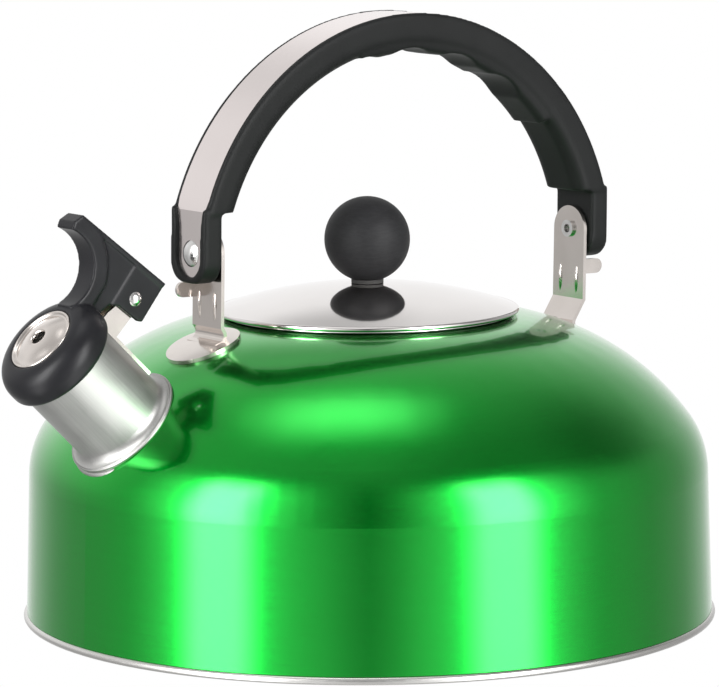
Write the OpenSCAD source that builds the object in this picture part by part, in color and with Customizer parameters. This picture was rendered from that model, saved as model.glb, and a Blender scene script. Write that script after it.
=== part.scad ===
// Stovetop whistling kettle with a fold-down bail handle, a lift-off lid and a flip-up whistle.
// Frame: origin on the kettle's axis at the underside of the base, +X towards the spout, +Z up.

/* [Body] */
// Radius of the wall at its foot
wall_foot_r = 110; // [109.5:0.1:110.5]
// Radius of the wall where the shoulder starts
wall_top_r = 108.6; // [108:0.1:109]
// Height where the shoulder starts
wall_top_z = 47.5; // [45:0.5:50]
// Radius of the shoulder's arc
shoulder_r = 29; // [28:0.5:31]
// Angle above the horizontal where the shoulder meets the crown
shoulder_end = 36.6; // [35:0.1:38]
// Radius of the crown's arc
crown_r = 83.4; // [82:0.1:85]
// Radius of the mouth under the lid
mouth_r = 45.5; // [45:0.1:46]
// Depth of the turned-down collar in the mouth
collar_h = 5; // [4:0.5:7]
// Thickness of the body's sheet
sheet = 1; // [0.8:0.1:1.2]

/* [Base] */
// Height where the body's wall starts, above the rolled seam
shell_z = 2.75; // [2.7:0.05:3]
// Radius of the rolled seam's round section
bead_r = 1.25; // [1.1:0.05:1.25]
// Outer radius of the rolled seam
base_r = 111; // [110.8:0.1:111.2]
// Radius of the flat underside
base_flat_r = 102; // [98:1:104]
// Thickness of the base
base_sheet = 1.2; // [1:0.1:1.4]

/* [Spout] */
// Angle of the spout above the horizontal
spout_angle = 44.3; // [43:0.1:45]
// Outer radius of the spout tube
spout_r = 16; // [15.5:0.1:16]
// Distance of the spout's mouth from the dome's surface
spout_len = 32; // [31.6:0.1:32.4]
// Radius of the flange around the spout's foot
flange_r = 19.2; // [18.5:0.1:20]
// Height of the flare at the spout's foot
flare_h = 2.6; // [2.4:0.1:2.8]

/* [Whistle] */
// Outer radius of the whistle cap
cap_r = 18.4; // [18.2:0.1:18.6]
// Distance of the cap's front from the dome's surface
cap_front = 39.8; // [39.6:0.1:40]
// Length of the cap along the spout
cap_len = 10.6; // [10.4:0.1:10.8]
// Radius of the pierced front disc
disc_r = 11; // [10.8:0.1:11]
// Rise of the front disc's dome
disc_rise = 2; // [1:0.1:2.5]
// Distance of the hinge pin from the dome's surface, along the spout
pin_along = 23.5; // [23.3:0.1:23.8]
// Distance of the hinge pin from the spout's axis
pin_up = 29.5; // [29:0.1:30]
// Radius of the hinge pin
pin_r = 1.5; // [1.4:0.05:1.6]
// Width of the lever's thumb face
lever_w = 9; // [8.6:0.1:9.4]
// Slope of the lever's straight back edge
lever_angle = 38.3; // [38:0.1:39]

/* [Handle] */
// Distance of the arch's centre behind the kettle's axis
handle_back = 10.9; // [10:0.1:11.5]
// Height of the arch's centre
handle_z = 109.7; // [109:0.1:111]
// Lean of the handle, front end up
handle_tilt = 1.4; // [1:0.1:1.6]
// Outer radius of the arch
arch_r = 83.2; // [82:0.1:84]
// Inner radius of the arch
arch_in = 72.1; // [71.5:0.1:73]
// Width of the grip
grip_w = 19.8; // [19:0.1:20.4]
// Width of the end tabs
tab_w = 18.8; // [18:0.1:19.4]
// Distance of the end tabs' outer faces from the arch's centre
tab_x = 80.9; // [80.6:0.1:81.2]
// Thickness of the end tabs
tab_t = 6.8; // [6.4:0.1:7]
// Height of the pivot above the arch's centre
pivot_z = 10.1; // [9:0.1:11]
// Height where the grip steps out to its thin end tabs
step_z = 23; // [22:0.1:25]
// Distance of the tabs' lower ends below the pivot
tab_drop = 9.2; // [8.6:0.1:9.4]
// Width of the steel strip along the arch
strip_w = 15.8; // [15:0.1:16]
// Thickness of the steel strip
strip_t = 0.8; // [0.6:0.1:1]
// Radius of the rivets' shanks
rivet_r = 2.4; // [2.2:0.1:2.6]

/* [Brackets] */
// Width of the handle brackets
bracket_w = 15.4; // [15:0.1:16]
// Thickness of the brackets
bracket_t = 1.2; // [1:0.1:1.4]
// Radius of the brackets' round feet
foot_r = 12; // [11:0.1:13]
// Distance of the front bracket's bend from the kettle's axis
front_bend = 59.4; // [58:0.1:60]
// Distance of the rear bracket's bend from the kettle's axis
rear_bend = 77.6; // [76:0.1:79]
// Distance of the feet's centres outside their bends
foot_out = 4.6; // [4:0.1:6]

/* [Lid] */
// Radius of the lid's rolled rim
lid_r = 48.4; // [48:0.1:49]
// Height of the lid's crown
lid_top = 107; // [106.5:0.1:108]
// Radius of the lid's dome
lid_dome_r = 150; // [145:1:155]
// Thickness of the lid's sheet
lid_t = 0.8; // [0.6:0.1:1]
// Radius of the knob's ball
knob_r = 13.65; // [13:0.05:14]
// Height of the knob's washer
washer_h = 1.3; // [1:0.1:1.5]

/* [Hidden] */
$fn = 96;

// Clearances
touch = 0.05;    // parts that are welded, seamed or clamped together
slack = 0.3;     // parts that move past each other
pin_fit = 0.06;  // a pin in the hole that it turns in

function polar(c, r, a) = c + r * [cos(a), sin(a)];

// Body outline: a leaning wall, a shoulder arc and a crown arc that meet without a corner
wall_lean = atan((wall_foot_r - wall_top_r) / (wall_top_z - shell_z));
shoulder_c = polar([wall_top_r, wall_top_z], -shoulder_r, wall_lean);
crown_c = polar(shoulder_c, shoulder_r - crown_r, shoulder_end);
mouth_a = acos((mouth_r - crown_c[0]) / crown_r);
mouth_z = polar(crown_c, crown_r, mouth_a)[1];

// Spout: it stands square to the dome, so its axis runs through the crown arc's centre
spout_in = crown_r - 4;
spout_out = crown_r + spout_len;
flare_r = 3.2;
flare_sink = 2.7;
flare_offset = 0.07;
band_start = 4.6;
band_half = 5.6;
band_gap = 1.5;
pin_a = crown_r + pin_along;
pin_at = [
    crown_c[0] + pin_a * cos(spout_angle) - pin_up * sin(spout_angle),
    crown_c[1] + pin_a * sin(spout_angle) + pin_up * cos(spout_angle)
];

// Whistle cap, along the spout from the crown arc's centre
cap_a1 = crown_r + cap_front;
cap_a0 = cap_a1 - cap_len;
cap_front_round = 6.8;
cap_back_round = 1.6;
cap_bore_r = spout_r + 1;
cap_inner = spout_out + 0.4;
chamber_r = 9.6;
disc_t = 0.6;
back_disc_r = 10.4;
disc_a = cap_a1 - 0.3;
disc_hole_r = 2.4;

// Lever, in a frame at the pin with u along the straight back edge and w square to it
lever_back = 9.9;
lever_rear = -6.3;
lever_cheek_end = 6.3;
lever_cheek_w = 8;
web_w = 7.6;
thumb_c = [29.1, -8.05];
thumb_r = 12.6;
thumb_t = 5.2;
rim_t = 1.5;
ear_y = 1.45;
ear_t = 1;
ear_r = 3.4;
slot_w = 2 * (ear_y + ear_t + slack);
pin_head_r = 2.3;
pin_head_h = 1.1;

// Handle
tab_in = tab_x - tab_t;
tab_round = 7;
grip_round_in = 4.5;
grip_round_out = 1.5;
strip_sink = 0.3;
strip_pocket = 1.4;
strip_end_w = 12.6;
strip_end_drop = 7.4;
strip_taper_z0 = 19;
strip_taper_z1 = 27;
finger_in = 70.2;
pad_w = 17.8;
pad_round = 3.2;
pad_root = 5;
groove_count = 5;
groove_pitch = 16.5;
groove_from = 73.5;
groove_span = (groove_count - 1) * groove_pitch;
groove_r = 14;
groove_depth = 1.8;
rivet_head_r = 4.15;
rivet_head_h = 1.7;
clench_r = 2.8;
clench_h = 0.9;

// Brackets
plate_gap = 0.8;
plate_x = tab_in - plate_gap - bracket_t / 2;
plate_top_r = bracket_w / 2;
plate_kink = pivot_z - 23;
bend_r = 2.5;
tang = 5;
rib_y = 4.1;
rib_z = pivot_z - 16.6;
rib_half = 6.2;
rib_r = 1.2;
stop_out = 7.6;
stop_z = pivot_z - 12;
stop_h = 4.8;

// Lid
lid_bead_r = 0.8;
skirt_r = mouth_r - sheet - 0.6;
skirt_bottom = mouth_z - 9;
skirt_t = 0.7;
seat_r = 46.4;
knob_z = lid_top + washer_h + 12.7;
insert_r = 4;
screw_r = 2.4;
screw_top = knob_z - 2;

// Half-section of everything inside the body's outside, grown by g
module body_section(g) {
    top_of_wall = polar(shoulder_c, shoulder_r + g, wall_lean);
    join = polar(crown_c, crown_r + g, shoulder_end);
    polygon([[0, shell_z], [wall_foot_r + g, shell_z], top_of_wall, [0, top_of_wall[1]]]);
    translate([0, wall_top_z - 1]) square([shoulder_c[0], join[1] - wall_top_z + 1]);
    translate(shoulder_c) circle(shoulder_r + g);
    intersection() {
        translate(crown_c) circle(crown_r + g);
        translate([0, join[1]]) square([join[0] + 1, crown_r]);
    }
}

// Sheet that lies on the body between two offsets from its outside
module sheet_on_body(g0, g1) {
    rotate_extrude() difference() {
        body_section(g1);
        body_section(g0);
        square([mouth_r, 200]);
    }
}

// Frame of the spout: z runs along its axis from the crown arc's centre, -x is its upper side
module in_spout() {
    translate([crown_c[0], 0, crown_c[1]]) rotate([0, 90 - spout_angle, 0]) children();
}

// Frame of the handle: origin at the arch's centre, leaning with the handle
module in_handle() {
    translate([-handle_back, 0, handle_z]) rotate([0, -handle_tilt, 0]) children();
}

function from_handle(x, z) = [
    x * cos(handle_tilt) - z * sin(handle_tilt) - handle_back,
    x * sin(handle_tilt) + z * cos(handle_tilt) + handle_z
];

// Flat shape in the x-z plane, w thick across it
module across(w) {
    rotate([90, 0, 0]) linear_extrude(w, center = true) children();
}

// Flat shape in the y-z plane, from x0 to x1
module along(x0, x1) {
    translate([x0, 0, 0]) rotate([90, 0, 90]) linear_extrude(x1 - x0) children();
}

module body_shell() {
    color("green") difference() {
        rotate_extrude() {
            difference() {
                body_section(0);
                body_section(-sheet);
                square([mouth_r - sheet, 200]);
            }
            translate([mouth_r - sheet, mouth_z - collar_h]) square([sheet, collar_h]);
        }
        in_spout() cylinder(r = spout_r + touch, h = 2 * crown_r);
    }
}

module base_pan() {
    bead_c = [base_r - bead_r, bead_r + 0.2];
    color("silver") rotate_extrude() {
        polygon([
            [0, 0],
            [base_flat_r, 0],
            [bead_c[0] - 0.8, bead_c[1] - 0.6],
            [bead_c[0] - 0.8, bead_c[1] + 0.6],
            [base_flat_r - 0.4, base_sheet],
            [0, base_sheet]
        ]);
        translate(bead_c) circle(bead_r);
    }
}

// Half-section of the flare at the spout's foot
module flare_section() {
    difference() {
        translate([spout_r - 0.4, crown_r - flare_sink]) square([flange_r - spout_r + 0.4, flare_sink + flare_h]);
        translate([spout_r + flare_r - flare_offset, crown_r + flare_h]) circle(flare_r);
    }
}

module spout_tube() {
    lip = 0.7;
    color("gainsboro") difference() {
        union() {
            in_spout() rotate_extrude() {
                translate([spout_r - sheet, spout_in]) square([sheet, spout_out - spout_in]);
                translate([spout_r - 0.35, spout_out - lip]) circle(lip, $fn = 32);
            }
            difference() {
                in_spout() rotate_extrude() flare_section();
                rotate_extrude() body_section(touch);
            }
        }
        in_spout() cylinder(r = spout_r - sheet, h = 2 * crown_r);
    }
}

module spout_bracket() {
    base_a = crown_r + band_start;
    base_end = cap_a0 - band_gap;
    base_r0 = spout_r + touch;
    color("lightgray") difference() {
        union() {
            intersection() {
                in_spout() translate([0, 0, base_a]) difference() {
                    cylinder(r = base_r0 + 1, h = base_end - base_a);
                    translate([0, 0, -1]) cylinder(r = base_r0, h = base_end);
                }
                in_spout() translate([-2 * spout_r, -band_half, 0]) cube([2 * spout_r, 2 * band_half, 2 * crown_r]);
            }
            for (side = [-1, 1]) in_spout() translate([0, side * (ear_y + ear_t / 2), 0]) across(ear_t) {
                polygon([
                    [-base_r0 - 0.4, pin_a - ear_r],
                    [-base_r0 - 0.4, base_end],
                    [-spout_r - 4.5, base_end],
                    [-spout_r - 7.5, pin_a + ear_r],
                    [-pin_up, pin_a + ear_r],
                    [-pin_up, pin_a - ear_r]
                ]);
                translate([-pin_up, pin_a]) circle(ear_r);
            }
        }
        in_spout() translate([-pin_up, 0, pin_a]) rotate([90, 0, 0])
            cylinder(r = pin_r + touch, h = 20, center = true);
    }
}

// Shallow dome of radius r and height h standing on z = 0
module button_head(r, h) {
    dome = (r * r + h * h) / (2 * h);
    intersection() {
        translate([0, 0, h - dome]) sphere(dome);
        cylinder(r = r, h = h + 1);
    }
}

module lever_pin() {
    half = lever_cheek_w / 2 + touch;
    color("white") translate([pin_at[0], 0, pin_at[1]]) {
        rotate([90, 0, 0]) cylinder(r = pin_r, h = 2 * half + 0.2, center = true);
        for (side = [-1, 1]) rotate([-90 * side, 0, 0]) translate([0, 0, half]) button_head(pin_head_r, pin_head_h);
    }
}

function unit(v) = v / norm(v);
function turn(v) = [-v[1], v[0]];

// Arc that rounds corner q between points p and s
function fillet(p, q, s, r, steps) =
    let (
        a = unit(p - q),
        b = unit(s - q),
        half = acos(a * b) / 2,
        c = q + unit(a + b) * r / sin(half),
        t0 = q + a * r / tan(half) - c,
        t1 = q + b * r / tan(half) - c,
        side = sign(t0[0] * t1[1] - t0[1] * t1[0]),
        sweep = side * acos(unit(t0) * unit(t1))
    )
    [for (i = [0:steps]) let (g = sweep * i / steps)
        c + [t0[0] * cos(g) - t0[1] * sin(g), t0[0] * sin(g) + t0[1] * cos(g)]];

// Points of a path moved sideways by d, mitred at its corners
function beside(path, d) = [
    for (i = [0:len(path) - 1]) let (
        a = unit(path[i] - path[max(i - 1, 0)] + (i == 0 ? path[1] - path[0] : [0, 0])),
        b = unit(path[min(i + 1, len(path) - 1)] - path[i] + (i == len(path) - 1 ? path[i] - path[i - 1] : [0, 0])),
        m = unit(turn(a) + turn(b))
    )
    path[i] + m * d / (m * turn(a))
];

// Sheet of thickness t along a path
module bent_sheet(path, t) {
    left = beside(path, t / 2);
    right = beside(path, -t / 2);
    polygon(concat(left, [for (i = [len(right) - 1:-1:0]) right[i]]));
}

// Angle on the crown's arc at a distance r from the kettle's axis
function crown_angle(r) = acos((r - crown_c[0]) / crown_r);

// A handle bracket: side is 1 at the front and -1 at the rear, bend_at is its bend's distance from the axis
module bracket(side, bend_at) {
    on_dome = touch + bracket_t / 2;
    bend = polar(crown_c, crown_r + on_dome, crown_angle(bend_at));
    end = polar(crown_c, crown_r + on_dome, crown_angle(bend_at + tang));
    top = from_handle(side * plate_x, pivot_z + 2 * plate_top_r);
    kink = from_handle(side * plate_x, plate_kink);
    low = [side * bend[0], bend[1]];
    out = [side * end[0], end[1]];
    foot_a = crown_angle(bend_at + foot_out);
    difference() {
        union() {
            intersection() {
                across(bracket_w) bent_sheet(concat([top, kink], fillet(kink, low, out, bend_r, 6), [out]), bracket_t);
                in_handle() along(-2 * arch_r, 2 * arch_r) {
                    translate([0, pivot_z - 0.2]) circle(plate_top_r);
                    translate([-bracket_w / 2, pivot_z - 60]) square([bracket_w, 59.8]);
                }
            }
            intersection() {
                sheet_on_body(touch, touch + bracket_t);
                rotate([0, 0, side > 0 ? 0 : 180]) translate([crown_c[0], 0, crown_c[1]])
                    rotate([0, 90 - foot_a, 0]) cylinder(r = foot_r, h = 2 * crown_r);
            }
            in_handle() rotate([0, 0, side > 0 ? 0 : 180]) {
                for (y = [-rib_y, rib_y]) translate([plate_x, y, rib_z]) rib();
                stop_tab();
            }
        }
        in_handle() translate([side * plate_x, 0, pivot_z]) rotate([0, 90, 0])
            cylinder(r = rivet_r + pin_fit, h = 10, center = true);
    }
}

// Pressed rib with pointed ends
module rib() {
    big = (rib_half * rib_half + rib_r * rib_r) / (2 * rib_r);
    rotate_extrude() intersection() {
        translate([rib_r - big, 0]) circle(big, $fn = 256);
        translate([0, -rib_half]) square([2 * rib_r, 2 * rib_half]);
    }
}

// Tab bent outwards from the bracket's edge, which stops the folding handle
module stop_tab() {
    r = stop_h / 2;
    translate([0, bracket_t / 2 - bracket_w / 2, 0]) across(bracket_t) {
        translate([plate_x - bracket_t / 4, stop_z - r]) square([stop_out - r, stop_h]);
        translate([plate_x - bracket_t / 4 + stop_out - r, stop_z]) circle(r);
    }
}

module front_bracket() {
    color("silver") bracket(1, front_bend);
}

module rear_bracket() {
    color("silver") bracket(-1, rear_bend);
}

// Cross-section of the grip
module grip_section() {
    half = grip_w / 2;
    ri = grip_round_in;
    ro = grip_round_out;
    translate([arch_in + ri, -half]) square([arch_r - ro - arch_in - ri, grip_w]);
    translate([arch_in, ri - half]) square([arch_r - arch_in - ro, grip_w - 2 * ri]);
    translate([arch_in + ri, ro - half]) square([arch_r - arch_in - ri, grip_w - 2 * ro]);
    for (side = [-1, 1]) {
        translate([arch_in + ri, side * (half - ri)]) circle(ri);
        translate([arch_r - ro, side * (half - ro)]) circle(ro);
    }
}

// Cross-section of the finger pad, which stands on the grip's inner face
module pad_section() {
    half = pad_w / 2;
    translate([finger_in + pad_round, -half]) square([arch_in + pad_root - finger_in - pad_round, pad_w]);
    translate([finger_in, pad_round - half]) square([arch_in - finger_in + 1, pad_w - 2 * pad_round]);
    for (side = [-1, 1]) translate([finger_in + pad_round, side * (half - pad_round)]) circle(pad_round);
}

// Arch outline that runs straight down where it would pass half-width x
module arch_side(r, x) {
    intersection() {
        circle(r);
        translate([-x, -2 * arch_r]) square([2 * x, 4 * arch_r]);
    }
}

// The steel strip, or with g its recess in the grip
module strip_shape(g) {
    end_z = pivot_z - strip_end_drop + strip_end_w / 2;
    outer = arch_r - strip_sink;
    outer_x = tab_x - strip_pocket;
    intersection() {
        across(strip_w + 2 * g) difference() {
            arch_side(outer + 20 * g, outer_x + 20 * g);
            arch_side(outer - strip_t - g, outer_x - strip_t - g);
            translate([-2 * arch_r, -2 * arch_r]) square([4 * arch_r, 2 * arch_r]);
        }
        along(-2 * arch_r, 2 * arch_r) {
            translate([0, end_z]) circle(strip_end_w / 2 + g);
            polygon([
                [-strip_end_w / 2 - g, end_z],
                [strip_end_w / 2 + g, end_z],
                [strip_end_w / 2 + g, strip_taper_z0],
                [strip_w / 2 + g, strip_taper_z1],
                [strip_w / 2 + g, 2 * arch_r],
                [-strip_w / 2 - g, 2 * arch_r],
                [-strip_w / 2 - g, strip_taper_z1],
                [-strip_end_w / 2 - g, strip_taper_z0]
            ]);
        }
    }
}

// Holes for both rivets' shanks
module rivet_holes() {
    translate([0, 0, pivot_z]) rotate([0, 90, 0]) cylinder(r = rivet_r + touch, h = 4 * arch_r, center = true);
}

module handle_grip() {
    color("dimgray") in_handle() difference() {
        union() {
            intersection() {
                rotate([90, 0, 0]) rotate_extrude($fn = 192) grip_section();
                translate([-tab_x, -grip_w, step_z]) cube([2 * tab_x, 2 * grip_w, 2 * arch_r]);
            }
            rotate([90, 0, 0]) rotate([0, 0, groove_from])
                rotate_extrude(angle = groove_span, $fn = 192) pad_section();
            for (side = [-1, 1]) along(side * (tab_in + tab_t / 2) - tab_t / 2, side * (tab_in + tab_t / 2) + tab_t / 2) {
                low = pivot_z - tab_drop;
                translate([-tab_w / 2, low + tab_round]) square([tab_w, step_z + 1.5 - low - tab_round]);
                translate([tab_round - tab_w / 2, low]) square([tab_w - 2 * tab_round, tab_round + 1]);
                for (y = [-1, 1]) translate([y * (tab_w / 2 - tab_round), low + tab_round]) circle(tab_round);
            }
        }
        strip_shape(0.1);
        rivet_holes();
        for (i = [0:groove_count - 1]) {
            a = groove_from + i * groove_pitch;
            rotate([0, -a, 0]) translate([finger_in + groove_depth - groove_r, 0, 0]) rotate([90, 0, 0])
                cylinder(r = groove_r, h = 2 * grip_w, center = true);
        }
    }
}

module handle_strip() {
    color("gainsboro") in_handle() difference() {
        strip_shape(0);
        rivet_holes();
    }
}

// Rivet: domed outside, with a rolled tubular end inside the bracket
module rivet(side) {
    head_x = tab_x - strip_pocket + touch;
    end_x = plate_x - bracket_t / 2 - touch;
    in_handle() rotate([0, 0, side > 0 ? 0 : 180]) translate([0, 0, pivot_z]) rotate([0, 90, 0]) difference() {
        union() {
            translate([0, 0, end_x - 0.8]) cylinder(r = rivet_r, h = head_x - end_x + 1);
            translate([0, 0, head_x]) button_head(rivet_head_r, rivet_head_h);
            translate([0, 0, end_x - clench_h]) cylinder(r = clench_r, h = clench_h);
        }
        translate([0, 0, end_x - 2]) cylinder(r = rivet_r - 1, h = 5);
    }
}

module front_rivet() {
    color("white") rivet(1);
}

module rear_rivet() {
    color("white") rivet(-1);
}

// Height of the lid's upper face at a distance r from its axis
function lid_z(r) = lid_top - lid_dome_r + sqrt(lid_dome_r * lid_dome_r - r * r);

module lid_cover() {
    bead = [lid_r - lid_bead_r, lid_z(lid_r - lid_bead_r) - lid_bead_r + 0.1];
    color("white") rotate_extrude() {
        intersection() {
            translate([0, lid_top - lid_dome_r]) difference() {
                circle(lid_dome_r, $fn = 360);
                circle(lid_dome_r - lid_t, $fn = 360);
            }
            translate([screw_r + 0.2, 0]) square([bead[0] - screw_r - 0.2, 2 * lid_top]);
        }
        translate(bead) circle(lid_bead_r, $fn = 48);
    }
}

module lid_skirt() {
    seat_z = mouth_z + slack;
    top = lid_z(skirt_r) - lid_t - 0.15;
    color("silver") rotate_extrude() {
        translate([skirt_r - skirt_t, skirt_bottom]) square([skirt_t, top - skirt_bottom]);
        translate([skirt_r - skirt_t, seat_z]) square([seat_r - skirt_r + skirt_t, skirt_t]);
        translate([skirt_r - skirt_t, skirt_bottom + 0.5]) circle(0.5, $fn = 32);
    }
}

module lid_knob() {
    foot = lid_top + washer_h;
    color("dimgray") difference() {
        translate([0, 0, knob_z]) sphere(knob_r);
        translate([0, 0, foot - 20]) cylinder(r = 20, h = 20);
        cylinder(r = insert_r + touch, h = screw_top + 1.2);
    }
}

module knob_insert() {
    foot = lid_top + washer_h + touch;
    color("gold") difference() {
        translate([0, 0, foot]) cylinder(r = insert_r, h = screw_top + 1 - foot);
        cylinder(r = screw_r + touch, h = screw_top + 0.3);
    }
}

module knob_washer() {
    color("dimgray") difference() {
        translate([0, 0, lid_top + touch]) cylinder(r = 5.15, h = washer_h - 2 * touch);
        cylinder(r = screw_r + 0.2, h = 2 * lid_top);
    }
}

module knob_screw() {
    head_top = lid_top - lid_t - 1.15;
    color("silver") difference() {
        union() {
            translate([0, 0, head_top]) cylinder(r = screw_r, h = screw_top - head_top);
            translate([0, 0, head_top]) rotate([180, 0, 0]) button_head(4.4, 2.4);
        }
        translate([-0.6, -6, head_top - 4]) cube([1.2, 12, 2.6]);
    }
}

module screw_washer() {
    color("silver") difference() {
        translate([0, 0, lid_top - lid_t - 1.1]) cylinder(r = 6, h = 0.95);
        cylinder(r = screw_r + 0.2, h = 2 * lid_top);
    }
}

// Outline of the lever in its own frame: back edge up, thumb hollow to the right
module lever_outline() {
    difference() {
        polygon([
            [lever_rear, lever_back],
            [lever_rear, -4.2],
            [lever_rear + 1.6, -5],
            [3.7, -5],
            [6.8, -6.6],
            [7.9, -10],
            [7.9, -15],
            [19, -15],
            [32.5, 4.2],
            [33.2, 6.4],
            [31.7, lever_back]
        ]);
        translate(thumb_c) circle(thumb_r);
    }
}

module lever_arm() {
    across(web_w) lever_outline();
    across(lever_w) intersection() {
        lever_outline();
        translate(thumb_c) circle(thumb_r + thumb_t);
        translate([12, -14]) square([30, 40]);
    }
    across(lever_w) intersection() {
        lever_outline();
        translate([26.8, -10]) square([10, 30]);
    }
    across(lever_w - 0.4) intersection() {
        lever_outline();
        translate([-20, lever_back - rim_t]) square([60, 10]);
    }
    across(lever_cheek_w) intersection() {
        lever_outline();
        translate([-20, -20]) square([20 + lever_cheek_end, 40]);
    }
}

// Half-section of the whistle cap's outside
module cap_section() {
    rf = cap_front_round;
    rb = cap_back_round;
    r0 = chamber_r - 1;
    translate([r0, cap_a0]) square([cap_r - rf - r0, cap_len]);
    translate([r0, cap_a0]) square([cap_r - rb - r0, cap_len - rf]);
    translate([r0, cap_a0 + rb]) square([cap_r - r0, cap_len - rf - rb]);
    translate([cap_r - rf, cap_a1 - rf]) circle(rf);
    translate([cap_r - rb, cap_a0 + rb]) circle(rb);
}

module whistle_lever() {
    color("dimgray") difference() {
        union() {
            in_spout() rotate_extrude() cap_section();
            translate([pin_at[0], 0, pin_at[1]]) rotate([0, -lever_angle, 0]) lever_arm();
        }
        in_spout() {
            translate([0, 0, cap_a0 - 10]) cylinder(r = cap_bore_r, h = cap_inner - cap_a0 + 10);
            cylinder(r = back_disc_r + touch, h = cap_inner + disc_t + 0.1);
            cylinder(r = chamber_r, h = 2 * crown_r);
            translate([0, 0, disc_a - 1]) cylinder(r = disc_r + 0.15, h = 20);
        }
        translate([pin_at[0], 0, pin_at[1]]) rotate([0, -lever_angle, 0]) {
            rotate([90, 0, 0]) cylinder(r = pin_r + pin_fit, h = 20, center = true);
            across(slot_w) translate([-20, -20]) square([25.5, 24.5]);
        }
    }
}

module whistle_front_disc() {
    dome = (disc_r * disc_r + disc_rise * disc_rise) / (2 * disc_rise);
    color("white") in_spout() rotate_extrude() {
        intersection() {
            translate([0, disc_a + disc_rise - dome]) difference() {
                circle(dome, $fn = 192);
                circle(dome - disc_t, $fn = 192);
            }
            translate([disc_hole_r, disc_a - disc_rise]) square([disc_r - 0.5 - disc_hole_r, 2 * disc_rise + 1]);
        }
        translate([disc_r - 0.6, disc_a]) circle(0.55, $fn = 32);
    }
}

module whistle_chamber() {
    bottom = cap_inner + disc_t + 0.2;
    color("silver") in_spout() translate([0, 0, bottom]) difference() {
        cylinder(r = chamber_r - touch, h = disc_a - 1.2 - bottom);
        translate([0, 0, -1]) cylinder(r = chamber_r - 0.6, h = 20);
    }
}

module whistle_back_disc() {
    color("silver") in_spout() translate([0, 0, cap_inner + touch]) difference() {
        cylinder(r = back_disc_r, h = disc_t);
        translate([0, 0, -1]) cylinder(r = 2, h = 3);
    }
}

body_shell();
base_pan();
spout_tube();
spout_bracket();
lever_pin();
front_bracket();
rear_bracket();
handle_grip();
handle_strip();
front_rivet();
rear_rivet();
lid_cover();
lid_skirt();
lid_knob();
knob_insert();
knob_washer();
knob_screw();
screw_washer();
whistle_lever();
whistle_front_disc();
whistle_chamber();
whistle_back_disc();
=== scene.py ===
"""Stovetop whistling kettle: lacquered body, spun lid, fold-down bail handle and flip-up whistle."""
import math

import bpy
from mathutils import Matrix, Vector


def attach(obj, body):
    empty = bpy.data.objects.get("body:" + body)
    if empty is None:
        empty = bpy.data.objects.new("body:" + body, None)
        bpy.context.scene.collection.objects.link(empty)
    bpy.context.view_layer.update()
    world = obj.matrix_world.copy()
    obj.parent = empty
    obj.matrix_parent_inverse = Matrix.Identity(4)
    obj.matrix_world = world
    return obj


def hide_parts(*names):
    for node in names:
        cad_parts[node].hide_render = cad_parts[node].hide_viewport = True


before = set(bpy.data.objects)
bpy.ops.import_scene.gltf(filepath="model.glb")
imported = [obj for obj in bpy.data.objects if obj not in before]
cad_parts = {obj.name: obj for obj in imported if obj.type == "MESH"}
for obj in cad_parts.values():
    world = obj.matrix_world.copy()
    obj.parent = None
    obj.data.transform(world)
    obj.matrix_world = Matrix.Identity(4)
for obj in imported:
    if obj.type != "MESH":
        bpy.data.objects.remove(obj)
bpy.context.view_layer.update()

MM = 0.001
UP = Vector((0, 0, 1))

# Body, spout and lid, in millimetres
CROWN_CENTRE = Vector((35.94, 0, 14.16))
CROWN_R = 83.4
SPOUT_ANGLE = math.radians(44.3)
SPOUT_R = 16
SPOUT_MOUTH = CROWN_R + 32
DISC_SEAT = CROWN_R + 39.5
SHEET = 1
WELD_GAP = 0.002
FLOOR_GAP = 0.2


# ---------------------------------------------------------------- shader tools

class Wire:
    """An output of a node; Python's operators join it to others with Math nodes."""

    def __init__(self, socket):
        self.socket = socket

    def math(self, operation, *values):
        tree = self.socket.id_data
        return add(tree, "ShaderNodeMath", {"operation": operation}, dict(enumerate(values)))

    def __add__(self, other):
        return self.math("ADD", self, other)

    def __radd__(self, other):
        return self.math("ADD", other, self)

    def __sub__(self, other):
        return self.math("SUBTRACT", self, other)

    def __rsub__(self, other):
        return self.math("SUBTRACT", other, self)

    def __mul__(self, other):
        return self.math("MULTIPLY", self, other)

    def __truediv__(self, other):
        return self.math("DIVIDE", self, other)

    def __pow__(self, other):
        return self.math("POWER", self, other)

    def __lt__(self, other):
        return self.math("LESS_THAN", self, other)


def add(tree, kind, settings=None, inputs=None, output=0):
    """One of the outputs of a new node; its settings are made before its sockets."""
    node = tree.nodes.new(kind)
    for name, value in (settings or {}).items():
        if name == "stops":
            ramp = node.color_ramp.elements
            ramp.remove(ramp[1])
            ramp[0].position, ramp[0].color = value[0]
            for place, colour in value[1:]:
                ramp.new(place).color = colour
        else:
            setattr(node, name, value)
    plug(tree, node, inputs or {})
    return Wire(node.outputs[output])


def plug(tree, node, inputs):
    """Sets a node's sockets to values or links."""
    for name, value in inputs.items():
        if isinstance(value, Wire):
            tree.links.new(value.socket, node.inputs[name])
        else:
            node.inputs[name].default_value = value


def parts(tree, vector):
    """The three components of a vector."""
    return [add(tree, "ShaderNodeSeparateXYZ", inputs={0: vector}, output=i) for i in range(3)]


def joined(tree, x, y, z):
    return add(tree, "ShaderNodeCombineXYZ", inputs={0: x, 1: y, 2: z})


def dot(tree, first, second):
    sockets = {0: first, 1: second}
    return add(tree, "ShaderNodeVectorMath", {"operation": "DOT_PRODUCT"}, sockets, "Value")


def from_axis(x, y):
    """Distance from the kettle's upright axis."""
    return (x * x + y * y) ** 0.5


def noise(tree, place, scale, detail=2.0, roughness=0.5):
    """Noise about a half, at a scale in cells per metre."""
    sockets = {"Vector": place, "Scale": scale, "Detail": detail, "Roughness": roughness}
    return add(tree, "ShaderNodeTexNoise", {}, sockets)


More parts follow.
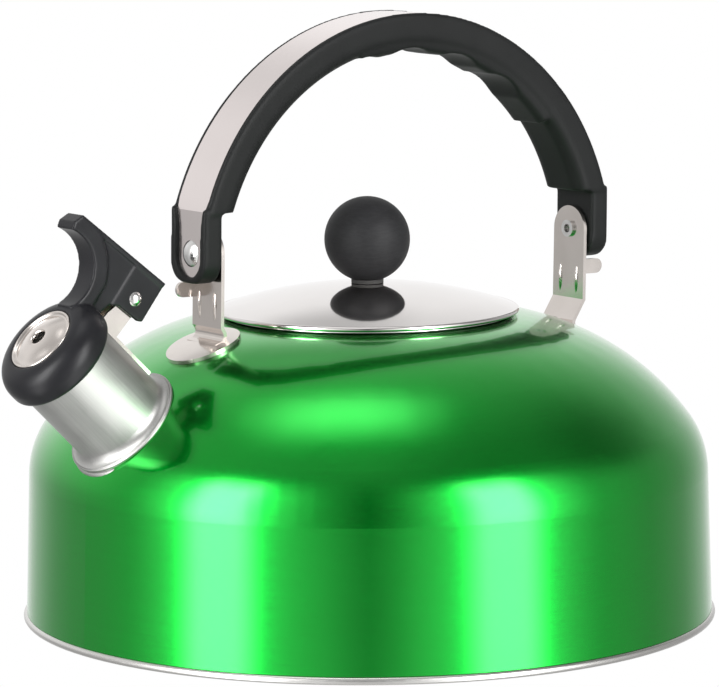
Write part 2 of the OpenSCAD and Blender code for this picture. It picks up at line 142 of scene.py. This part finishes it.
def blend(tree, mask, first, second):
    """Colour that goes from first to second as mask goes from 0 to 1."""
    return add(tree, "ShaderNodeMix", {"data_type": "RGBA"}, {0: mask, 6: first, 7: second}, 2)


def eased(tree, value, low, high):
    """0 below low and 1 above high, with a smooth step between them."""
    sockets = {"Value": value, "From Min": low, "From Max": high}
    return add(tree, "ShaderNodeMapRange", {"interpolation_type": "SMOOTHSTEP"}, sockets)


def bump(tree, height, distance, strength):
    sockets = {"Height": height, "Distance": distance, "Strength": strength}
    return add(tree, "ShaderNodeBump", {}, sockets)


def on_piece(tree):
    """A point's place on its own piece, which moves with it."""
    return add(tree, "ShaderNodeTexCoord", output="Object")


def finish(name, sockets_of):
    """A material whose Principled sockets come from sockets_of(tree)."""
    made = bpy.data.materials.new(name)
    made.use_nodes = True
    tree = made.node_tree
    plug(tree, tree.nodes["Principled BSDF"], sockets_of(tree))
    return made


# ---------------------------------------------------------------- finishes

GREEN = (0.0, 0.46, 0.034, 1)
GREEN_DEEP = (0.0, 0.38, 0.025, 1)
INNER_STEEL = (0.62, 0.61, 0.59, 1)
# A point that the shell's outside faces away from, in metres
BODY_MIDDLE = (0, 0, 0.02)


def green_lacquer(tree):
    """Translucent green lacquer over spun metal outside the shell, and plain metal inside it."""
    place = on_piece(tree)
    x, y, z = parts(tree, place)
    outwards = add(tree, "ShaderNodeVectorMath", {"operation": "SUBTRACT"}, {0: place, 1: BODY_MIDDLE})
    inside = dot(tree, add(tree, "ShaderNodeNewGeometry", output="True Normal"), outwards) < 0
    spun = noise(tree, joined(tree, from_axis(x, y), z, x * 0.06), 2600, 3)
    grain = noise(tree, place, 900, 3, 0.6)
    cloud = noise(tree, place, 26, 2)
    tone = spun * 0.5 + grain * 0.3 + cloud * 0.4 - 0.1
    return {
        "Base Color": blend(tree, inside, blend(tree, tone, GREEN_DEEP, GREEN), INNER_STEEL),
        "Metallic": 1.0,
        "Roughness": 0.21 + (grain - 0.5) * 0.08 + (spun - 0.5) * 0.08,
        "Normal": bump(tree, spun * 0.6 + grain * 0.4, 0.00002, 0.25),
        "Coat Weight": (1 - inside) * 0.8,
        "Coat Roughness": 0.04,
        "Coat IOR": 1.4,
    }


def turned_steel(tree):
    """Brushed sheet with fine rings around the kettle's axis."""
    x, y, z = parts(tree, on_piece(tree))
    rings = noise(tree, joined(tree, from_axis(x, y), z, 0.0), 3000, 2)
    return {
        "Base Color": blend(tree, rings, (0.60, 0.59, 0.57, 1), (0.76, 0.75, 0.73, 1)),
        "Metallic": 1.0,
        "Roughness": 0.20 + rings * 0.16,
        "Normal": bump(tree, rings, 0.00003, 0.4),
    }


def spout_steel(tree):
    """Drawn tube with fine streaks along the spout's axis."""
    place = on_piece(tree)
    along = dot(tree, place, spout_axis())
    lean = dot(tree, place, Vector((-math.sin(SPOUT_ANGLE), 0, math.cos(SPOUT_ANGLE))))
    across = parts(tree, place)[1]
    streaks = noise(tree, joined(tree, along * 0.03, lean, across), 1900, 3)
    cloud = noise(tree, place, 160, 3)
    tone = streaks * 0.7 + cloud * 0.3
    return {
        "Base Color": blend(tree, tone, (0.34, 0.34, 0.33, 1), (0.56, 0.557, 0.54, 1)),
        "Metallic": 1.0,
        "Roughness": 0.36 + streaks * 0.14 + (cloud - 0.5) * 0.12,
        "Normal": bump(tree, streaks, 0.00004, 0.4),
    }


def mirror_steel(tree):
    """Polished lid with faint hairlines left by the polishing wheel."""
    place = on_piece(tree)
    x, y = parts(tree, place)[:2]
    rings = noise(tree, joined(tree, from_axis(x, y), x * 0.02, y * 0.02), 2500, 2)
    haze = noise(tree, place, 60, 3)
    return {
        "Base Color": blend(tree, haze, (0.76, 0.73, 0.715, 1), (0.82, 0.79, 0.775, 1)),
        "Metallic": 1.0,
        "Roughness": 0.045 + rings * 0.03 + haze * 0.02,
        "Normal": bump(tree, rings, 0.00001, 0.2),
    }


def pressed_steel(tree):
    """Bright pressed sheet, faintly rose in the light, with gentle waves and handling marks."""
    place = on_piece(tree)
    marks = noise(tree, place, 420, 4, 0.6)
    haze = noise(tree, place, 70, 3)
    waves = noise(tree, place, 60, 1)
    tone = haze * 0.6 + waves * 0.4
    return {
        "Base Color": blend(tree, tone, (0.64, 0.585, 0.54, 1), (0.86, 0.805, 0.77, 1)),
        "Metallic": 1.0,
        "Roughness": 0.09 + marks * 0.1 + haze * 0.06,
        "Normal": bump(tree, waves, 0.0007, 0.5),
    }


def strip_steel(tree):
    """Polished strip along the grip, with hairlines along its length."""
    place = on_piece(tree)
    x, y, z = parts(tree, place)
    hair = noise(tree, joined(tree, x * 0.05, y, z * 0.05), 3600, 2)
    haze = noise(tree, place, 45, 3)
    return {
        "Base Color": blend(tree, haze, (0.80, 0.73, 0.715, 1), (0.88, 0.81, 0.795, 1)),
        "Metallic": 1.0,
        "Roughness": 0.12 + hair * 0.08 + haze * 0.04,
        "Normal": bump(tree, hair, 0.00002, 0.3),
    }


def rivet_steel(tree):
    """Plated rivets and pins."""
    place = on_piece(tree)
    marks = noise(tree, place, 700, 3)
    return {
        "Base Color": blend(tree, marks, (0.70, 0.69, 0.68, 1), (0.86, 0.85, 0.84, 1)),
        "Metallic": 1.0,
        "Roughness": 0.16 + marks * 0.14,
        "Normal": bump(tree, marks, 0.00005, 0.3),
    }


def black_resin(tree):
    """Moulded phenolic resin, satin, with a fine pebble and faint wear."""
    place = on_piece(tree)
    pebble = noise(tree, place, 1500, 3, 0.6)
    flow = noise(tree, place, 90, 4)
    return {
        "Base Color": blend(tree, flow, (0.0055, 0.006, 0.006, 1), (0.013, 0.0138, 0.0138, 1)),
        "Roughness": 0.52 + (flow - 0.5) * 0.16 + (pebble - 0.5) * 0.1,
        "Normal": bump(tree, pebble, 0.00008, 0.3),
        "Specular IOR Level": 0.17,
    }


def knob_resin(tree):
    """Turned resin knob with a fine grain across it."""
    place = on_piece(tree)
    x, y, z = parts(tree, place)
    streaks = noise(tree, joined(tree, x * 0.25, y * 0.25, z), 1700, 4, 0.65)
    fleck = noise(tree, place, 1200, 4, 0.7)
    return {
        "Base Color": blend(tree, streaks, (0.008, 0.008, 0.0086, 1), (0.032, 0.032, 0.034, 1)),
        "Roughness": 0.55 + (fleck - 0.5) * 0.2 + (streaks - 0.5) * 0.14,
        "Normal": bump(tree, streaks * 0.6 + fleck * 0.4, 0.00012, 0.35),
        "Specular IOR Level": 0.19,
    }


def black_plastic(tree):
    """Moulded heat-proof plastic of the whistle, slightly glossier than the grip."""
    place = on_piece(tree)
    pebble = noise(tree, place, 1800, 3, 0.6)
    flow = noise(tree, place, 140, 3)
    return {
        "Base Color": blend(tree, flow, (0.0085, 0.0085, 0.010, 1), (0.016, 0.016, 0.0185, 1)),
        "Roughness": 0.33 + (flow - 0.5) * 0.12 + (pebble - 0.5) * 0.1,
        "Normal": bump(tree, pebble, 0.00005, 0.3),
        "Specular IOR Level": 0.22,
    }


def turned_brass(tree):
    """Brass insert with fine turning rings along its height."""
    height = parts(tree, on_piece(tree))[2]
    rings = noise(tree, joined(tree, height, 0.0, 0.0), 4000, 2)
    return {
        "Base Color": blend(tree, rings, (0.60, 0.42, 0.16, 1), (0.80, 0.62, 0.30, 1)),
        "Metallic": 1.0,
        "Roughness": 0.22 + rings * 0.14,
    }


def dark_fibre(tree):
    """Matt pressed fibre."""
    place = on_piece(tree)
    felt = noise(tree, place, 2200, 4, 0.7)
    return {
        "Base Color": blend(tree, felt, (0.02, 0.02, 0.02, 1), (0.06, 0.058, 0.055, 1)),
        "Roughness": 0.75 + (felt - 0.5) * 0.2,
        "Normal": bump(tree, felt, 0.0001, 0.4),
    }


# ---------------------------------------------------------------- mesh tools

def spout_axis():
    return Vector((math.cos(SPOUT_ANGLE), 0, math.sin(SPOUT_ANGLE)))


def link(name, mesh, material):
    """A smooth piece in the scene with one material."""
    piece = bpy.data.objects.new(name, mesh)
    bpy.context.scene.collection.objects.link(piece)
    mesh.materials.clear()
    mesh.materials.append(material)
    for face in mesh.polygons:
        face.use_smooth = True
    return piece


def rounded(corners):
    """Closed outline from corners (r, h, rounding), in millimetres."""
    steps = 6
    points = []
    for i, (r, h, rounding) in enumerate(corners):
        here = Vector((r, h))
        to_last = (Vector(corners[i - 1][:2]) - here).normalized()
        to_next = (Vector(corners[(i + 1) % len(corners)][:2]) - here).normalized()
        if rounding == 0:
            points.append(here)
            continue
        half = to_last.angle(to_next) / 2
        centre = here + (to_last + to_next).normalized() * rounding / math.sin(half)
        first = here + to_last * rounding / math.tan(half) - centre
        last = here + to_next * rounding / math.tan(half) - centre
        for k in range(steps + 1):
            points.append(centre + first.slerp(last, k / steps))
    return points


def arc(r, h, radius, start, end, steps, first=1):
    """Outline's points on an arc about (r, h), from the first of its steps on; angles in degrees."""
    angles = [math.radians(start + (end - start) * k / steps) for k in range(first, steps + 1)]
    return [Vector((r + radius * math.cos(a), h + radius * math.sin(a))) for a in angles]


def revolved(outline, steps):
    """Mesh of a closed outline turned about the spout's axis; r from it and h from the crown's centre."""
    turn = spout_axis().to_track_quat("Z", "Y").to_matrix()
    points = []
    for i in range(steps):
        angle = 2 * math.pi * i / steps
        for r, h in outline:
            point = Vector((r * math.cos(angle), r * math.sin(angle), h))
            points.append((CROWN_CENTRE + turn @ point) * MM)
    count = len(outline)
    faces = []
    for i in range(steps):
        j = (i + 1) % steps
        for k in range(count):
            m = (k + 1) % count
            faces.append((i * count + k, j * count + k, j * count + m, i * count + m))
    mesh = bpy.data.meshes.new("revolved")
    mesh.from_pydata(points, [], faces)
    mesh.update()
    return mesh


def worn(node, voxel, passes):
    """Mesh of a CAD node with its hard edges worn round, as a moulding's are."""
    helper = bpy.data.objects.new("helper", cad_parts[node].data.copy())
    bpy.context.scene.collection.objects.link(helper)
    weld = helper.modifiers.new("weld", "WELD")
    weld.merge_threshold = WELD_GAP * MM
    remesh = helper.modifiers.new("remesh", "REMESH")
    remesh.mode = "VOXEL"
    remesh.voxel_size = voxel * MM
    smooth = helper.modifiers.new("smooth", "SMOOTH")
    smooth.factor = 0.5
    smooth.iterations = passes
    bpy.context.view_layer.update()
    shape = helper.evaluated_get(bpy.context.evaluated_depsgraph_get())
    mesh = bpy.data.meshes.new_from_object(shape)
    bpy.data.objects.remove(helper)
    return mesh


def stand_for(piece, node, body):
    """The piece takes a CAD node's place on a body."""
    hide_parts(node)
    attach(piece, body)


# ---------------------------------------------------------------- studio

CAMERA_AZIMUTH = math.radians(37)
CAMERA_REACH = 1.4497
CAMERA_HEIGHT = 0.2985
CAMERA_PITCH = math.radians(8.288)
CAMERA_ROLL = math.radians(0.359)
CAMERA_LENS = 229.7
CAMERA_SHIFT = -0.01154

# Brightness of the walls by how far they are from the camera's bearing, as a share of a half turn
WALLS = [
    (0.0, 0.11), (0.08, 0.5), (0.3, 0.58), (0.5, 0.56),
    (0.6, 0.42), (0.72, 0.42), (0.84, 0.6), (0.96, 1.0),
]
# Bands (low, high, fade, brightness), with the angles in degrees: a soft box is a bright band in a weak halo
LEFT_BOX = [(-62, -40, 6, 10.5), (-76, -26, 14, 1.1)]
RIGHT_BOX = [(35, 57, 6, 9.5), (22, 72, 14, 1.1)]
BOX_HEIGHT = [(-8, 37, 11, 0.7), (-60, 37, 9, 0.3)]
TOP_BOX_LIGHT = 2.1
SCREEN_LIGHT = 0.46
NEAR_FLOOR_LIGHT = 0.36
# How much of the room's light the two dim patches take away
GLOOM_DEPTH = 0.55
SHADE_DEPTH = 0.35


def camera_ways():
    """Level directions from the kettle to the camera, and to the camera's right."""
    towards = Vector((math.sin(CAMERA_AZIMUTH), math.cos(CAMERA_AZIMUTH), 0))
    return towards, Vector((-towards.y, towards.x, 0))


def studio_camera():
    """Camera with a long lens, looking slightly down on the spout's side."""
    data = bpy.data.cameras.new("camera")
    data.sensor_width = 36
    data.lens = CAMERA_LENS
    data.shift_x = CAMERA_SHIFT
    camera = bpy.data.objects.new("camera", data)
    bpy.context.scene.collection.objects.link(camera)
    towards, right = camera_ways()
    ahead = -math.cos(CAMERA_PITCH) * towards - math.sin(CAMERA_PITCH) * UP
    above = right.cross(ahead)
    turned = Matrix((
        math.cos(CAMERA_ROLL) * right - math.sin(CAMERA_ROLL) * above,
        math.sin(CAMERA_ROLL) * right + math.cos(CAMERA_ROLL) * above,
        -ahead,
    )).transposed()
    place = CAMERA_REACH * towards + CAMERA_HEIGHT * UP
    camera.matrix_world = Matrix.Translation(place) @ turned.to_4x4()
    bpy.context.scene.camera = camera


def rising(tree, angle, low, high):
    """0 below low and 1 above high, both in degrees."""
    return eased(tree, angle, math.radians(low), math.radians(high))


def window(tree, angle, low, high, fade):
    """1 between low and high, with a fade on either side; all in degrees."""
    low, high, fade = (math.radians(a) for a in (low, high, fade))
    opened = eased(tree, angle, low - fade, low + fade)
    return opened * (1 - eased(tree, angle, high - fade, high + fade))


def banded(tree, angle, bands):
    """Sum of bands (low, high, fade, brightness) along an angle."""
    return sum(window(tree, angle, low, high, fade) * light for low, high, fade, light in bands)


def studio_light():
    """White room that is dim on the camera's side, lit by soft boxes, a screen behind and a pale ceiling.

    Bearings run from the camera's, positive to its right. Camera rays see plain white.
    """
    world = bpy.data.worlds.new("studio")
    world.use_nodes = True
    tree = world.node_tree
    towards, right = camera_ways()
    way = add(tree, "ShaderNodeTexCoord", output="Generated")
    front = dot(tree, way, towards)
    side = dot(tree, way, right)
    rise = dot(tree, way, UP)
    bearing = side.math("ARCTAN2", side, front)
    height = rise.math("ARCSINE", rise)
    turned_away = bearing.math("ABSOLUTE", bearing) / math.pi

    # Walls, with a lighter floor by the camera and a screen behind on the left
    stops = [(place, (light, light, light, 1)) for place, light in WALLS]
    walls = add(tree, "ShaderNodeValToRGB", {"stops": stops}, {0: turned_away})
    near_floor = (1 - rising(tree, height, -10, -3)) * (1 - eased(tree, turned_away, 0.08, 0.2))
    walls = walls + near_floor * NEAR_FLOOR_LIGHT
    screen = window(tree, bearing, -162, -98, 14) * rising(tree, height, -14, 18)

    # Ceiling that is brighter to the left and at the back
    ceiling = rising(tree, height, 18, 62)
    overhead = 0.6 - side.math("MAXIMUM", side, 0) * 0.6 - front * 0.3
    room = (walls + screen * SCREEN_LIGHT) * (1 - ceiling) + overhead * ceiling

    # Dim patches, high on the right and high behind on the left
    gloom = window(tree, bearing, 90, 132, 18) * window(tree, height, 24, 51, 11)
    shade = window(tree, height, 34, 50, 7) * (1 - eased(tree, side, -0.05, 0.15))
    shade = shade * (1 - eased(tree, front, -0.7, -0.5))
    room = room * (1 - gloom * GLOOM_DEPTH) * (1 - shade * SHADE_DEPTH)

    # Soft boxes
    upright = banded(tree, bearing, LEFT_BOX) + banded(tree, bearing, RIGHT_BOX)
    upright = upright * banded(tree, height, BOX_HEIGHT)
    sideways = side.math("ARCTAN2", side, rise)
    forwards = front.math("ARCTAN2", front, rise)
    top_box = window(tree, sideways, -19, 9, 11) * window(tree, forwards, -12, 7, 9) * TOP_BOX_LIGHT

    seen = add(tree, "ShaderNodeLightPath", output="Is Camera Ray")
    strength = (room + upright + top_box) * (1 - seen) + seen
    plug(tree, tree.nodes["Background"], {"Color": (1, 1, 1, 1), "Strength": strength})
    bpy.context.scene.world = world


def pale_floor():
    """White sweep just under the kettle, which camera rays see as plain white."""
    reach = 4
    corners = [(-reach, -reach, 0), (reach, -reach, 0), (reach, reach, 0), (-reach, reach, 0)]
    mesh = bpy.data.meshes.new("floor")
    mesh.from_pydata(corners, [], [(0, 1, 2, 3)])
    made = bpy.data.materials.new("floor_white")
    made.use_nodes = True
    tree = made.node_tree
    tree.nodes.remove(tree.nodes["Principled BSDF"])
    matt = add(tree, "ShaderNodeBsdfDiffuse", {}, {"Color": (0.8, 0.8, 0.8, 1)})
    lit = add(tree, "ShaderNodeEmission", {}, {"Strength": 1.0})
    seen = add(tree, "ShaderNodeLightPath", output="Is Camera Ray")
    mixed = add(tree, "ShaderNodeMixShader", {}, {0: seen, 1: matt, 2: lit})
    plug(tree, tree.nodes["Material Output"], {"Surface": mixed})
    floor = bpy.data.objects.new("floor", mesh)
    bpy.context.scene.collection.objects.link(floor)
    mesh.materials.append(made)
    floor.location.z = -FLOOR_GAP * MM
    floor.visible_glossy = False


# ---------------------------------------------------------------- pieces

def dress(finishes):
    """Gives the CAD nodes that stay their finishes."""
    for material, nodes in finishes:
        for node in nodes:
            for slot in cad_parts[node].material_slots:
                slot.material = material


def spout(material):
    """Spout tube with a rolled lip at its mouth and a flare that settles on the dome."""
    flare_r = 3.2
    flare_rim = SPOUT_R + flare_r
    flare_low = CROWN_R - 0.6
    edge_r = 0.45
    lip_r = 0.7
    lip_line = SPOUT_R - 0.35
    inner = SPOUT_R - SHEET
    outline = rounded([
        (inner, CROWN_R - 4, 0),
        (flare_rim - 0.5, CROWN_R - 3.4, 0),
        (flare_rim, CROWN_R - 2.8, 0.2),
    ])
    outline.append(Vector((flare_rim, flare_low - 0.8)))
    outline += arc(flare_rim - edge_r, flare_low - edge_r, edge_r, 0, 90, 4)
    outline += arc(flare_rim, flare_low + flare_r, flare_r, 270, 180, 12)
    outline.append(Vector((SPOUT_R, SPOUT_MOUTH - 2.4 * lip_r)))
    outline += arc(lip_line, SPOUT_MOUTH - lip_r, lip_r, -60, 180, 12, first=0)
    piece = link("spout", revolved(outline, 192), material)
    stand_for(piece, "spout_tube", "kettle")


def whistle_disc(material):
    """Pierced front disc of the whistle: a rolled rim, a shallow channel and a dome with a turned-in hole."""
    thickness = 0.5
    dome = [
        (9.2, -0.15), (8.2, 0.3), (7.0, 0.85), (5.6, 1.3),
        (4.2, 1.55), (3.2, 1.6), (2.65, 1.45), (2.4, 1.05),
    ]
    rim = [
        (9.7, -0.3), (10.0, -0.1), (10.25, 0.25), (10.6, 0.5),
        (10.95, 0.35), (11.05, 0.0), (10.95, -0.35),
    ]
    top = [Vector((r, DISC_SEAT + h)) for r, h in rim[::-1] + dome]
    under = [Vector((r, DISC_SEAT + h - thickness)) for r, h in dome[::-1] + rim[:3]]
    piece = link("whistle_disc", revolved(top + under, 96), material)
    stand_for(piece, "whistle_front_disc", "whistle")


def moulding(name, node, body, voxel, passes, material):
    """A moulded piece in place of a CAD node, with soft edges; voxel in millimetres."""
    stand_for(link(name, worn(node, voxel, passes), material), node, body)


bpy.context.scene.view_settings.view_transform = "Standard"
studio_camera()
studio_light()
pale_floor()

resin = finish("satin_black_resin", black_resin)
plastic = finish("black_whistle_plastic", black_plastic)
pressed = finish("pressed_bright_steel", pressed_steel)
dress([
    (finish("green_lacquer_on_spun_metal", green_lacquer), ["body_shell"]),
    (finish("turned_steel", turned_steel), [
        "base_pan", "lid_skirt", "knob_screw", "screw_washer", "whistle_chamber", "whistle_back_disc",
    ]),
    (pressed, ["front_bracket", "rear_bracket", "spout_bracket"]),
    (finish("polished_strip", strip_steel), ["handle_strip"]),
    (finish("plated_rivets", rivet_steel), ["front_rivet", "rear_rivet", "lever_pin"]),
    (finish("polished_lid", mirror_steel), ["lid_cover"]),
    (finish("turned_black_knob", knob_resin), ["lid_knob"]),
    (finish("turned_brass", turned_brass), ["knob_insert"]),
    (finish("dark_fibre", dark_fibre), ["knob_washer"]),
])
spout(finish("drawn_spout_steel", spout_steel))
whistle_disc(pressed)
moulding("grip", "handle_grip", "handle", voxel=0.6, passes=8, material=resin)
moulding(
    "whistle_thumb_lever", "whistle_lever", "whistle",
    voxel=0.35, passes=4, material=plastic,
)
